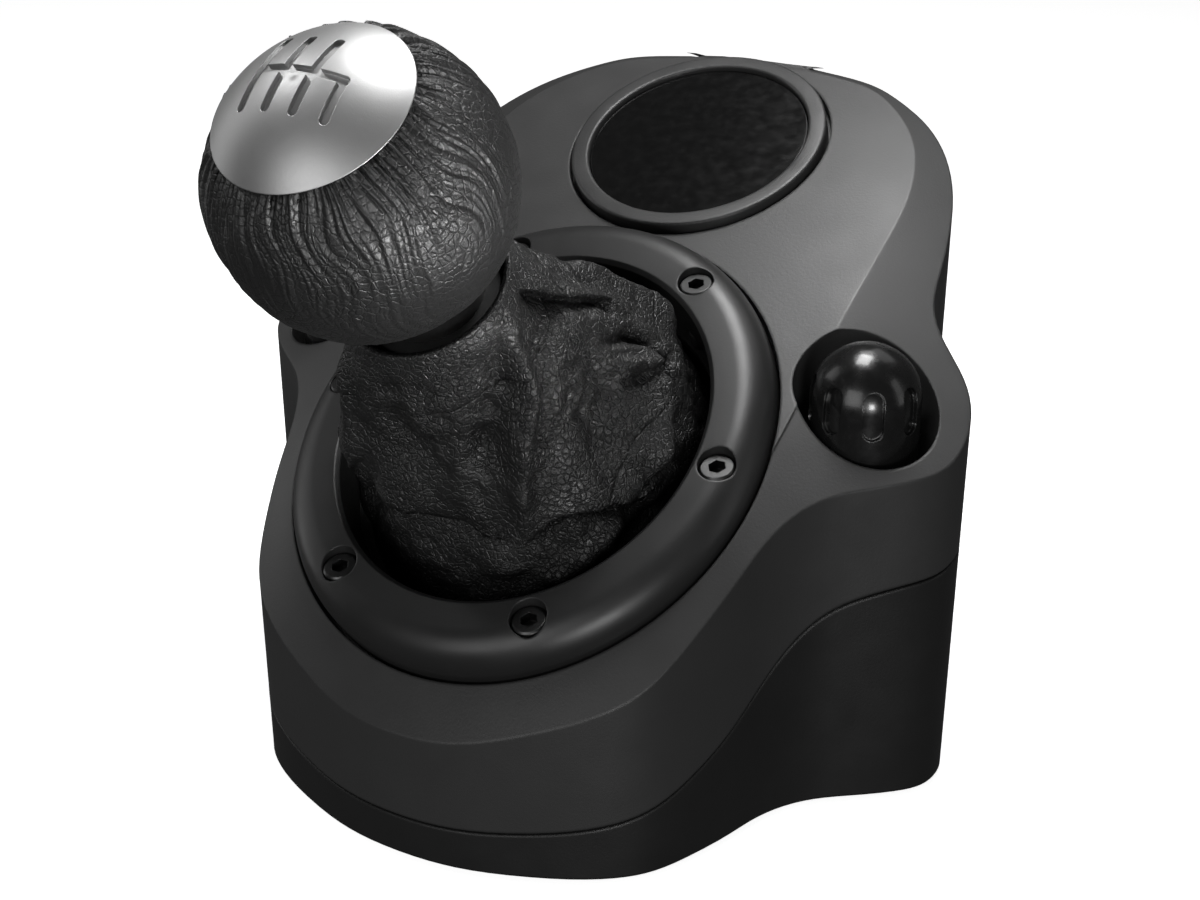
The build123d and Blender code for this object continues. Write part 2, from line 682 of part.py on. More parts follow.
# Circuit board and cable inlet
def standoff_places():
    inset = 2 * STANDOFF_RADIUS
    places = []
    for side in SIDES.values():
        for end in (-1, 1):
            places.append((side * (BOARD_WIDTH / 2 - inset), BOARD_Y + end * (BOARD_DEPTH / 2 - inset)))
    return places


def make_board():
    return Pos(0, BOARD_Y, BOARD_Z) * Box(BOARD_WIDTH, BOARD_DEPTH, BOARD_THICK, align=STAND)


def make_board_parts():
    top = BOARD_Z + BOARD_THICK
    chip = Box(BOARD_DEPTH / 2, BOARD_DEPTH / 2, BOARD_THICK, align=STAND)
    socket = Box(BOARD_WIDTH / 4, BOARD_DEPTH / 3, 2 * BOARD_THICK, align=STAND)
    return Compound(children=[Pos(0, BOARD_Y, top) * chip, Pos(-BOARD_WIDTH / 3, BOARD_Y, top) * socket])


def make_gland():
    wall_y = FRONT_Y + BODY_LENGTH
    body = Cylinder(GLAND_RADIUS, WALL + GLAND_FLANGE, align=STAND)
    collar = Cylinder(GLAND_RADIUS + GLAND_COLLAR, GLAND_FLANGE, align=STAND)
    flange = Pos(0, 0, WALL + GLAND_FLANGE) * collar
    bore = Pos(0, 0, -OVERRUN) * Cylinder(GLAND_BORE, SKY, align=STAND)
    gland = body + flange - bore
    return Pos(0, wall_y + GLAND_FLANGE / 4, GLAND_Z) * Rot(90, 0, 0) * gland


# Mechanism, drawn along the lever
def along_y(radius, front, back):
    return Pos(0, front, 0) * Cylinder(radius, back - front, rotation=(-90, 0, 0), align=STAND)


def along_x(radius, left, right):
    return Pos(left, 0, 0) * Cylinder(radius, right - left, rotation=(0, 90, 0), align=STAND)


def frame_corners():
    reach = FRAME_Y + FRAME_WALL
    local = [(-reach, FRAME_TOP), (reach, FRAME_TOP), (reach, GATE_HEIGHT - FRAME_WALL)]
    return [LEVER.from_local_coords((0, y, z)) for y, z in local]


def make_mechanism_frame():
    floor = FOOT_STAND + BASE_THICK
    front, back, low = frame_corners()
    outline = Polyline(
        (FRAME_X, front.Y, floor),
        (FRAME_X, front.Y, front.Z),
        (FRAME_X, back.Y, back.Z),
        (FRAME_X, low.Y, low.Z),
        (FRAME_X, low.Y, floor),
        close=True,
    )
    plate = extrude(make_face(outline), amount=FRAME_WALL, dir=(1, 0, 0))
    foot = Pos(FRAME_X + FRAME_WALL, front.Y, floor) * Box(
        FRAME_FOOT_WIDTH, low.Y - front.Y, FRAME_FOOT_THICK, align=(Align.MIN, Align.MIN, Align.MIN)
    )
    frame = both_sides(plate + foot)
    for end in (-1, 1):
        wall = Box(2 * FRAME_X, FRAME_WALL, 2 * FRAME_CROSS_HALF)
        wall = Pos(0, end * (FRAME_Y + FRAME_WALL / 2), 0) * wall
        frame = frame + LEVER * wall
    reach = 2 * FRAME_Y
    frame = frame - LEVER * along_y(TRUNNION_RADIUS + RUN_CLEARANCE, -reach, reach)
    for x, y in frame_screw_places():
        frame = frame - Pos(x, y, 0) * Cylinder(CASE_SHANK_RADIUS + THREAD_CLEARANCE, BOARD_Z, align=STAND)
    return frame


def frame_screw_places():
    corners = frame_corners()
    front, low = corners[0], corners[-1]
    inset = FRAME_FOOT_WIDTH / 2
    places = []
    for side in SIDES.values():
        for y in (front.Y + inset, low.Y - inset):
            places.append((side * (FRAME_X + FRAME_WALL + inset), y))
    return places


def make_frame_screws():
    top = FOOT_STAND + BASE_THICK + FRAME_FOOT_THICK + CASE_HEAD_HEIGHT
    length = FRAME_FOOT_THICK + CASE_HEAD_HEIGHT
    screw = socket_screw(CASE_HEAD_RADIUS, CASE_HEAD_HEIGHT, CASE_SHANK_RADIUS, length)
    return Compound(children=[Pos(x, y, top) * screw for x, y in frame_screw_places()])


def make_gate_plate():
    pitch = -GATE_HEIGHT * tan(radians(SWING))
    length = 2 * pitch / cos(radians(SWING)) + GATE_SLOT
    plate = Box(2 * FRAME_X, length + 2 * GATE_MARGIN, GATE_THICK)
    column = extrude(SlotOverall(length, GATE_SLOT), amount=2 * GATE_THICK, both=True)
    bar = extrude(SlotOverall(2 * pitch + GATE_SLOT, GATE_SLOT), amount=2 * GATE_THICK, both=True)
    plate = plate - bar
    for i in (-1, 0, 1):
        plate = plate - Pos(i * pitch, 0, 0) * Rot(0, 0, 90) * column
    return LEVER * Pos(0, 0, GATE_HEIGHT) * plate


def make_select_sensor():
    back = FRAME_Y + FRAME_WALL
    body = along_y(SENSOR_RADIUS, back, back + SENSOR_LENGTH)
    end = back + SENSOR_LENGTH - FRAME_WALL / 2
    return LEVER * (body - along_y(TRUNNION_RADIUS + RUN_CLEARANCE, back - OVERRUN, end))


def make_reverse_switch():
    body = Box(SWITCH_SIZE, SWITCH_SIZE, SWITCH_SIZE)
    return LEVER * Pos(FRAME_X - SWITCH_SIZE / 2, 0, SWITCH_HEIGHT) * body


def make_gimbal_yoke():
    yoke = Box(2 * YOKE_X, 2 * YOKE_Y, 2 * YOKE_HALF_HEIGHT)
    yoke = fillet(yoke.edges().filter_by(Axis.Z), CORNER_ROUND)
    front = FRAME_Y + FRAME_WALL + CLIP_GAP
    back = FRAME_Y + FRAME_WALL + SENSOR_LENGTH / 2
    yoke = yoke + along_y(TRUNNION_RADIUS, -front, back)
    yoke = yoke - Box(2 * (YOKE_X - YOKE_WALL), 2 * (YOKE_Y - YOKE_WALL), 2 * YOKE_Y)
    return LEVER * (yoke - along_x(TRUNNION_RADIUS + RUN_CLEARANCE, -2 * YOKE_X, 2 * YOKE_X))


def make_shift_sensor():
    body = along_x(ROTARY_RADIUS, YOKE_X, YOKE_X + ROTARY_LENGTH)
    return LEVER * (body - along_x(TRUNNION_RADIUS + RUN_CLEARANCE, 0, 2 * YOKE_X))


def make_pivot_block():
    block = Box(2 * BLOCK_HALF, 2 * BLOCK_HALF, 2 * BLOCK_HALF_HEIGHT)
    block = fillet(block.edges().filter_by(Axis.Z), CORNER_ROUND)
    reach = YOKE_X + ROTARY_LENGTH / 2
    block = block + along_x(TRUNNION_RADIUS, -reach, reach)
    return LEVER * (block - Cylinder(ROD_RADIUS + RUN_CLEARANCE, SKY))


def make_lever_rod():
    rod = Pos(0, 0, ROD_BOTTOM) * Cylinder(ROD_RADIUS, ROD_TOP - ROD_BOTTOM, align=STAND)
    pin = Pos(0, 0, PIN_BOTTOM) * Cylinder(PIN_RADIUS, ROD_BOTTOM - PIN_BOTTOM, align=STAND)
    return LEVER * (rod + pin)


def make_rod_clip():
    top = -BLOCK_HALF_HEIGHT - CLIP_GAP
    return LEVER * tube(CLIP_RADIUS, ROD_RADIUS, top - CLIP_THICK, top)


def make_spring_collar():
    return LEVER * tube(COLLAR_RADIUS, ROD_RADIUS, SPRING_TOP, SPRING_TOP + COLLAR_THICK)


def make_push_spring():
    low = BLOCK_HALF_HEIGHT + SPRING_WIRE / 2 + SPRING_GAP
    height = SPRING_TOP - SPRING_WIRE / 2 - SPRING_GAP - low
    path = Helix(pitch=height / SPRING_TURNS, height=height, radius=SPRING_RADIUS)
    start = Plane(origin=path @ 0, z_dir=path % 0)
    coil = sweep(start * Circle(SPRING_WIRE / 2), path=path)
    return LEVER * Pos(0, 0, low) * coil


# Knob
def cap_height():
    return BALL_CENTRE + BALL_RADIUS * cos(radians(CAP_ANGLE))


def core_radius():
    return BALL_RADIUS - LEATHER_THICK


def nut_top():
    return BALL_CENTRE - sqrt(core_radius() ** 2 - KNOB_NUT_RADIUS ** 2)


def ball(radius):
    return Pos(0, 0, BALL_CENTRE) * Sphere(radius)


def make_knob_core():
    core = ball(core_radius()) & Pos(0, 0, nut_top()) * Cylinder(BALL_RADIUS, SKY, align=STAND)
    bore = Cylinder(ROD_RADIUS, ROD_TOP, align=STAND)
    return LEVER * (core - bore)


def make_knob_leather():
    leather = ball(BALL_RADIUS) & Cylinder(2 * BALL_RADIUS, cap_height() - CAP_GAP, align=STAND)
    leather = leather - ball(core_radius())
    return LEVER * (leather - Cylinder(KNOB_NUT_RADIUS, BALL_CENTRE, align=STAND))


def pattern_strokes():
    """Grooves of the shift pattern seen along the lever."""
    length = PATTERN_LEG + PATTERN_STROKE
    leg = Rot(0, 0, 90) * SlotOverall(length, PATTERN_STROKE)
    gaps = PATTERN_COLUMNS - 1
    bar = SlotOverall(gaps * PATTERN_PITCH + PATTERN_STROKE, PATTERN_STROKE)
    strokes = [extrude(bar, amount=SKY)]
    for i in range(PATTERN_COLUMNS):
        x = (i - gaps / 2) * PATTERN_PITCH
        strokes.append(extrude(Pos(x, -PATTERN_LEG / 2, 0) * leg, amount=SKY))
        if i < gaps:
            strokes.append(extrude(Pos(x, PATTERN_LEG / 2, 0) * leg, amount=SKY))
    return [Pos(0, PATTERN_SHIFT, BALL_CENTRE) * stroke for stroke in strokes]


def make_knob_cap():
    outer = BALL_RADIUS + CAP_PROUD
    above = Pos(0, 0, cap_height()) * Cylinder(2 * BALL_RADIUS, SKY, align=STAND)
    cap = (ball(outer) & above) - ball(core_radius())
    floor = ball(outer - PATTERN_DEPTH)
    for stroke in pattern_strokes():
        cap = cap - (stroke - floor)
    return LEVER * cap


def make_knob_nut():
    return LEVER * tube(KNOB_NUT_RADIUS, ROD_RADIUS, nut_top() - KNOB_NUT_HEIGHT, nut_top())


def make_boot_collar():
    top = nut_top() - KNOB_NUT_HEIGHT
    return LEVER * tube(BOOT_NECK - BOOT_THICK - FIT_GAP, ROD_RADIUS, NECK_BOTTOM, top)


def make_boot_tie():
    inner = BOOT_NECK + FIT_GAP
    return LEVER * tube(inner + TIE_THICK, inner, TIE_BOTTOM, TIE_BOTTOM + TIE_HEIGHT)


# Leather boot
def arc_loop(points, middles):
    edges = []
    for i, middle in enumerate(middles):
        edges.append(ThreePointArc(points[i], middle, points[(i + 1) % len(points)]).edge())
    return Face(Wire(edges))


def boot_section(height, swell, radii):
    def place(radius, turn):
        angle = radians(360 * turn / len(radii))
        return LEVER.from_local_coords((radius * cos(angle), radius * sin(angle), height))

    points = [place(radius, i) for i, radius in enumerate(radii)]
    middles = []
    for i, radius in enumerate(radii):
        mean = (radius + radii[(i + 1) % len(radii)]) / 2
        lobe = swell if i % 2 else -swell / 2
        middles.append(place(mean * (1 + lobe), i + 1 / 2))
    return arc_loop(points, middles)


def hem_section(radius, height):
    def place(turn):
        angle = radians(360 * turn / BOOT_SIDES)
        return RING.from_local_coords((radius * cos(angle), radius * RING_STRETCH * sin(angle), height))

    turns = range(BOOT_SIDES)
    return arc_loop([place(i) for i in turns], [place(i + 1 / 2) for i in turns])


def boot_solid(inset, overrun):
    hem = RING_INNER - HEM_WIDTH / 4 - inset
    low = -RING_DEPTH - SEAT_THICK
    sections = [hem_section(hem, low - HEM_THICK - overrun), hem_section(hem, low)]
    for height, swell, *radii in boot_shares:
        sections.append(boot_section(height * BOOT_TOP, swell, [r * BOOT_REACH - inset for r in radii]))
    for height in (NECK_BOTTOM, BOOT_TOP + overrun):
        sections.append(boot_section(height, 0, [BOOT_NECK - inset] * BOOT_SIDES))
    return loft(sections, ruled=True)


def make_shift_boot():
    return boot_solid(0, 0) - boot_solid(BOOT_THICK, OVERRUN)


def make_parts():
    top, lower = make_shells()
    save(top, "top_shell")
    save(lower, "lower_shell")
    save(make_base_plate(), "base_plate")
    save(make_feet(), "rubber_feet")
    save(make_case_screws(), "case_screws")
    save(make_rig_inserts(), "rig_inserts")
    save(make_weight(), "steel_weight")
    save(make_board(), "circuit_board")
    save(make_board_parts(), "board_parts")
    save(make_gland(), "cable_gland")
    save(make_badge_rim(), "badge_rim")
    save(make_badge_disc(), "badge_disc")
    save(make_badge_backing(), "badge_backing")
    save(make_ring(), "boot_ring")
    save(make_ring_screws(), "ring_screws")
    save(make_hem_frame(), "boot_hem_frame")
    save(make_shift_boot(), "shift_boot")
    for word, side in SIDES.items():
        save(make_clamp_bush(side), f"clamp_bush_{word}")
        save(make_clamp_screw(side), f"clamp_screw_{word}")
        save(make_clamp_knob(side), f"clamp_knob_{word}")
        save(make_clamp_jaw(side), f"clamp_jaw_{word}")
        save(make_clamp_pad(side), f"clamp_pad_{word}")
    save(make_mechanism_frame(), "mechanism_frame")
    save(make_frame_screws(), "frame_screws")
    save(make_gate_plate(), "gate_plate")
    save(make_select_sensor(), "select_sensor")
    save(make_reverse_switch(), "reverse_switch")
    save(make_gimbal_yoke(), "gimbal_yoke")
    save(make_shift_sensor(), "shift_sensor")
    save(make_pivot_block(), "pivot_block")
    save(make_lever_rod(), "lever_rod")
    save(make_rod_clip(), "rod_clip")
    save(make_spring_collar(), "spring_collar")
    save(make_push_spring(), "push_spring")
    save(make_knob_core(), "knob_core")
    save(make_knob_leather(), "knob_leather")
    save(make_knob_cap(), "knob_cap")
    save(make_knob_nut(), "knob_nut")
    save(make_boot_collar(), "boot_collar")
    save(make_boot_tie(), "boot_tie")


make_parts()
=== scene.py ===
import bpy
import json
import math
import numpy as np
from mathutils import Matrix, Vector, noise


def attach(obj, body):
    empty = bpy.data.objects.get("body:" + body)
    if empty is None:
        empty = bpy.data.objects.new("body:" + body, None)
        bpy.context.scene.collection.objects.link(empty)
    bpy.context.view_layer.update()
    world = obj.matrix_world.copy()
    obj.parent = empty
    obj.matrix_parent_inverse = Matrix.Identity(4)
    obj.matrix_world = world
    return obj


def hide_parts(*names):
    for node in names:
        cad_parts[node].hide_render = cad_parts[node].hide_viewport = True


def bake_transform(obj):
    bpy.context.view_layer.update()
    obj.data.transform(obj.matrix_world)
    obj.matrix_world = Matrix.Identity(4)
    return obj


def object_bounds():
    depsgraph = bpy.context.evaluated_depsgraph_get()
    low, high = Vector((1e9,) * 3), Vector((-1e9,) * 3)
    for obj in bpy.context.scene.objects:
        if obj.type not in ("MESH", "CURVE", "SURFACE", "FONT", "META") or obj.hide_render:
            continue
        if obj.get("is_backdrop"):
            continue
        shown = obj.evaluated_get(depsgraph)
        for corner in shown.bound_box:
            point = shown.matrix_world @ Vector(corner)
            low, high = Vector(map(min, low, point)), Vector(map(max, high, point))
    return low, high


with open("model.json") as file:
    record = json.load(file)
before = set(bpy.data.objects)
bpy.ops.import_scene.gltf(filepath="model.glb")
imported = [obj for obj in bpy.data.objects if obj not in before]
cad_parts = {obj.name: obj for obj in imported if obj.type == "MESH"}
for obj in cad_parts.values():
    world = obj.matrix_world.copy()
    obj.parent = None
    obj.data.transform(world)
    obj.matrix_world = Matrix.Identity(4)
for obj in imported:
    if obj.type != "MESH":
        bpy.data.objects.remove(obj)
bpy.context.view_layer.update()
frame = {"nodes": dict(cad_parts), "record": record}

NODES = frame["nodes"]
MM = 0.001

# Lever frame: X right, Y up the slope, Z along the lever, from the pivot
PIVOT = Vector((0, 2.7, 36.55)) * MM
LEVER_TILT = math.radians(37.0)
LEVER = Matrix.Translation(PIVOT) @ Matrix.Rotation(LEVER_TILT, 4, "X")
BALL_CENTRE = 90.0
BALL_RADIUS = 21.3
CAP_ANGLE = math.radians(41.2)
NECK_RADIUS = 8.0
BALL_THICKNESS = 1.2


def clamp(value, low=0.0, high=1.0):
    return max(low, min(high, value))


def smooth(low, high, value):
    t = clamp((value - low) / (high - low))
    return t * t * (3 - 2 * t)


def lerp(a, b, t):
    return a + (b - a) * t


# Materials
class Nodes:
    """Small helper that adds shader nodes to one material and links them."""

    def __init__(self, name):
        self.material = bpy.data.materials.new(name)
        self.material.use_nodes = True
        self.tree = self.material.node_tree
        self.shader = self.tree.nodes["Principled BSDF"]

    def add(self, kind, inputs=None, **settings):
        node = self.tree.nodes.new(kind)
        for key, value in settings.items():
            setattr(node, key, value)
        for key, value in (inputs or {}).items():
            if isinstance(value, bpy.types.NodeSocket):
                self.tree.links.new(value, node.inputs[key])
            else:
                node.inputs[key].default_value = value
        return node

    def place(self):
        return self.add("ShaderNodeTexCoord").outputs["Object"]

    def noise(self, vector, scale, detail=2.0, roughness=0.5, distortion=0.0):
        inputs = {"Vector": vector, "Scale": scale, "Detail": detail, "Roughness": roughness}
        return self.add("ShaderNodeTexNoise", inputs | {"Distortion": distortion}).outputs["Fac"]

    def cracks(self, vector, scale):
        """Distance to the nearest edge between uneven cells."""
        inputs = {"Vector": vector, "Scale": scale, "Randomness": 1.0}
        return self.add("ShaderNodeTexVoronoi", inputs, feature="DISTANCE_TO_EDGE").outputs["Distance"]

    def span(self, value, low, high, new_low, new_high, kind="LINEAR"):
        names = ("Value", "From Min", "From Max", "To Min", "To Max")
        inputs = dict(zip(names, (value, low, high, new_low, new_high)))
        return self.add("ShaderNodeMapRange", inputs, interpolation_type=kind).outputs["Result"]

    def math(self, operation, a, b=0.0):
        return self.add("ShaderNodeMath", {0: a, 1: b}, operation=operation).outputs[0]

    def mix(self, factor, a, b):
        node = self.add("ShaderNodeMix", data_type="RGBA")
        for index, value in ((0, factor), (6, a), (7, b)):
            if isinstance(value, bpy.types.NodeSocket):
                self.tree.links.new(value, node.inputs[index])
            else:
                node.inputs[index].default_value = value
        return node.outputs[2]

    def bump(self, height, strength, distance, normal=None):
        inputs = {"Height": height, "Strength": strength, "Distance": distance}
        if normal is not None:
            inputs["Normal"] = normal
        return self.add("ShaderNodeBump", inputs).outputs["Normal"]

    def round_edges(self, radius):
        return self.add("ShaderNodeBevel", {"Radius": radius}, samples=6).outputs["Normal"]

    def surface(self, **values):
        for key, value in values.items():
            socket = self.shader.inputs[key.replace("_", " ")]
            if isinstance(value, bpy.types.NodeSocket):
                self.tree.links.new(value, socket)
            else:
                socket.default_value = value
        return self.material


def grey(value):
    return (value, value, value, 1)


def moulded(name, tone, rough, grain=0.00005, edge=0.0006, cell=0.00045):
    """Moulded plastic with a fine spark-eroded grain."""
    n = Nodes(name)
    place = n.place()
    broad = n.noise(place, 30, 3)
    fine = n.noise(place, 1 / cell, 2, 0.6)
    pores = n.noise(place, 2.4 / cell, 2, 0.6)
    colour = n.mix(broad, grey(tone * 0.92), grey(tone * 1.08))
    roughness = n.span(n.noise(place, 120, 3), 0.3, 0.7, rough - 0.03, rough + 0.04)
    height = n.math("ADD", n.math("MULTIPLY", fine, 0.7), n.math("MULTIPLY", pores, 0.3))
    normal = n.bump(height, 0.6, grain, n.round_edges(edge))
    return n.surface(Base_Color=colour, Roughness=roughness, Normal=normal, Specular_IOR_Level=0.5)


def glossy(name, tone, rough=0.08, edge=0.0003, coat=0.5):
    """Polished plastic with the faintest moulding ripple."""
    n = Nodes(name)
    place = n.place()
    colour = n.mix(n.noise(place, 40, 2), grey(tone * 0.9), grey(tone * 1.1))
    roughness = n.span(n.noise(place, 500, 4), 0.3, 0.7, rough * 0.8, rough * 1.3)
    normal = n.bump(n.noise(place, 60, 1), 0.15, 0.00004, n.round_edges(edge))
    return n.surface(
        Base_Color=colour, Roughness=roughness, Normal=normal, Coat_Weight=coat, Coat_Roughness=0.03
    )


def metal(name, tone, rough, cell=0.0003, edge=0.0002):
    """Fine blasted metal."""
    n = Nodes(name)
    place = n.place()
    fine = n.noise(place, 1 / cell, 3, 0.6)
    colour = n.mix(n.noise(place, 60, 3), grey(tone * 0.93), grey(tone * 1.05))
    roughness = n.span(fine, 0.3, 0.7, rough - 0.04, rough + 0.05)
    normal = n.bump(fine, 0.5, 0.00002, n.round_edges(edge))
    return n.surface(Base_Color=colour, Metallic=1.0, Roughness=roughness, Normal=normal)


def leather(name, tone, rough, cell, depth):
    """Pebbled leather: rounded cells of uneven size with thin cracks, and finer wrinkles over them, with
    painted shade that darkens the colour in hollows.
    """
    n = Nodes(name)
    place = n.place()
    bend = n.add("ShaderNodeTexNoise", {"Vector": place, "Scale": 0.4 / cell, "Detail": 2.0})
    shift = n.add(
        "ShaderNodeVectorMath", {0: bend.outputs["Color"], 1: (cell * 1.1,) * 3}, operation="MULTIPLY"
    ).outputs[0]
    moved = n.add("ShaderNodeVectorMath", {0: place, 1: shift}, operation="ADD").outputs[0]
    cells = n.cracks(moved, 1 / cell)
    small = n.cracks(moved, 2.6 / cell)
    pebble = n.span(cells, 0.0, 0.16, 0, 1, "SMOOTHSTEP")
    fine = n.span(small, 0.0, 0.2, 0, 1, "SMOOTHSTEP")
    stretch = n.span(n.noise(place, 0.12 / cell, 2), 0.35, 0.65, 0.35, 1)
    wrinkle = n.noise(place, 0.8 / cell, 4, 0.6, 0.4)
    height = n.math("ADD", n.math("MULTIPLY", pebble, 0.62), n.math("MULTIPLY", fine, 0.14))
    height = n.math("ADD", height, n.math("MULTIPLY", wrinkle, 0.3))
    height = n.math("MULTIPLY", height, stretch)
    crack = n.span(cells, 0.0, 0.09, 0, 1)
    # Painted shade: ambient occlusion darkens the colour and the specular level in the folds and hollows
    hollow = n.add("ShaderNodeAmbientOcclusion", {"Distance": 0.008}, samples=8).outputs["AO"]
    painted_shade = n.span(hollow, 0.35, 0.85, 0.08, 1)
    colour = n.mix(n.math("MULTIPLY", crack, painted_shade), grey(tone * 0.2), grey(tone))
    roughness = n.span(crack, 0, 1, rough + 0.25, rough)
    normal = n.bump(height, 0.9, depth)
    shine = n.math("MULTIPLY", painted_shade, 0.55)
    return n.surface(Base_Color=colour, Roughness=roughness, Normal=normal, Specular_IOR_Level=shine)


TOP_PLASTIC = moulded("top_plastic", 0.030, 0.42)
LOWER_PLASTIC = moulded("lower_plastic", 0.010, 0.42)
RING_PLASTIC = moulded("ring_plastic", 0.014, 0.40, grain=0.00002, edge=0.0004)
BADGE_RIM = moulded("badge_rim_plastic", 0.026, 0.40, edge=0.0005)
BADGE_GLOSS = glossy("badge_gloss", 0.003, 0.15, coat=0.0)
KNOB_GLOSS = glossy("knob_gloss", 0.006, 0.24, coat=0.15)
CAP_METAL = metal("cap_metal", 0.42, 0.46, cell=0.00022, edge=0.00015)
SCREW_STEEL = metal("screw_steel", 0.07, 0.36)
PLAIN_STEEL = metal("plain_steel", 0.45, 0.35)
DARK_METAL = metal("frame_metal", 0.18, 0.5)
BRASS = metal("bush_brass", 0.45, 0.3)
RUBBER = moulded("foot_rubber", 0.015, 0.75, cell=0.0008)
INNER_PLASTIC = moulded("inner_plastic", 0.08, 0.55)
BOARD = moulded("board_green", 0.06, 0.45)
HIDDEN_PLASTIC = moulded("hem_plastic", 0.006, 0.7)
BOOT_LEATHER = leather("boot_leather", 0.012, 0.36, 0.0010, 0.00034)
BALL_LEATHER = leather("ball_leather", 0.013, 0.42, 0.0011, 0.00014)

BY_SLOT = {
    "top_plastic": TOP_PLASTIC, "lower_plastic": LOWER_PLASTIC, "ring_plastic": RING_PLASTIC,
    "knob_plastic": KNOB_GLOSS, "badge_gloss": BADGE_GLOSS, "badge_rim_plastic": BADGE_RIM,
    "ball_leather": BALL_LEATHER, "boot_leather": BOOT_LEATHER, "cap_metal": CAP_METAL,
    "screw_steel": SCREW_STEEL, "plain_steel": PLAIN_STEEL, "frame_metal": DARK_METAL,
    "foot_rubber": RUBBER, "bush_brass": BRASS, "inner_plastic": INNER_PLASTIC, "board_green": BOARD,
}


SHARP_ANGLE = math.radians(13)


def dress(node, material):
    """Gives a CAD node its material, and smooth shading that breaks at the real edges."""
    node.data.materials.clear()
    node.data.materials.append(material)
    node.data.polygons.foreach_set("use_smooth", [True] * len(node.data.polygons))
    weld = node.modifiers.new("weld", "WELD")
    weld.merge_threshold = 0.00001
    split = node.modifiers.new("edges", "EDGE_SPLIT")
    split.split_angle = SHARP_ANGLE
    split.use_edge_sharp = False


for entry in frame["record"]["subparts"]:
    dress(NODES[entry["node"]], BY_SLOT[entry["material_slot"]])
for name in ("boot_hem_frame", "boot_tie", "boot_collar"):
    NODES[name].data.materials[0] = HIDDEN_PLASTIC

# The needle faces at the two rear corners of the top edge, in millimetres, are merged
CORNER_INNER = 9.5
CORNER_OUTER = 11.6
CORNER_FRONT = 67
CORNER_LOW = 94
CORNER_MERGE = 0.9

shell = NODES["top_shell"]
corners = shell.vertex_groups.new(name="rear_corners")
for vertex in shell.data.vertices:
    x, y, z = (shell.matrix_world @ vertex.co) / MM
    if CORNER_INNER < abs(x) < CORNER_OUTER and y > CORNER_FRONT and z > CORNER_LOW:
        corners.add([vertex.index], 1.0, "REPLACE")
merge = shell.modifiers.new("corners", "WELD")
merge.merge_threshold = CORNER_MERGE * MM
merge.vertex_group = "rear_corners"
shell.modifiers.move(len(shell.modifiers) - 1, 1)


# Meshes made here
def grid_mesh(name, rows):
    """A mesh through rows of points; each row goes all round the lever."""
    width = len(rows[0])
    points = [point for row in rows for point in row]
    faces = []
    for j in range(len(rows) - 1):
        for i in range(width):
            k = (i + 1) % width
            faces.append((j * width + i, j * width + k, (j + 1) * width + k, (j + 1) * width + i))
    mesh = bpy.data.meshes.new(name)
    mesh.from_pydata(points, [], faces)
    mesh.validate()
    mesh.polygons.foreach_set("use_smooth", [True] * len(mesh.polygons))
    piece = bpy.data.objects.new(name, mesh)
    bpy.context.scene.collection.objects.link(piece)
    return piece


def give_thickness(piece, thickness):
    skin = piece.modifiers.new("skin", "SOLIDIFY")
    skin.thickness = thickness
    skin.offset = -1
    graph = bpy.context.evaluated_depsgraph_get()
    piece.data = bpy.data.meshes.new_from_object(piece.evaluated_get(graph))
    piece.modifiers.clear()


# Boot: height along the lever, then the radius in each direction round it, 45 degrees apart from the
# right, all in millimetres
BOOT_TABLE = np.array([
    (15.2, 29.6, 29.9, 31.7, 29.9, 29.6, 29.9, 31.7, 29.9),
    (17.3, 29.4, 29.9, 31.3, 29.8, 29.6, 29.9, 31.2, 29.6),
    (20.0, 28.5, 29.4, 30.3, 29.4, 29.0, 28.6, 28.4, 28.2),
    (24.0, 28.5, 29.4, 29.7, 28.8, 28.2, 27.2, 25.6, 27.0),
    (28.0, 27.8, 29.4, 28.8, 27.6, 27.0, 26.0, 23.4, 25.8),
    (31.0, 27.2, 29.4, 28.2, 26.6, 26.0, 24.6, 21.2, 25.2),
    (35.0, 25.6, 28.6, 26.8, 25.0, 24.6, 23.2, 18.8, 24.0),
    (38.5, 24.2, 27.0, 25.2, 23.4, 23.4, 23.4, 18.6, 22.4),
    (42.0, 22.6, 25.2, 23.4, 21.6, 22.2, 23.4, 20.0, 21.2),
    (46.5, 20.6, 22.8, 21.0, 19.6, 20.4, 21.6, 19.0, 19.2),
    (51.0, 18.4, 20.0, 18.6, 17.8, 18.2, 19.6, 17.6, 17.2),
    (56.0, 16.2, 17.0, 16.4, 16.0, 16.2, 17.6, 16.0, 15.6),
    (61.0, 14.4, 14.8, 14.6, 14.4, 14.6, 15.6, 14.6, 14.3),
    (65.5, 13.6, 13.6, 13.6, 13.6, 13.6, 13.8, 13.6, 13.6),
    (68.4, 13.0, 13.0, 13.0, 13.0, 13.0, 13.0, 13.0, 13.0),
])

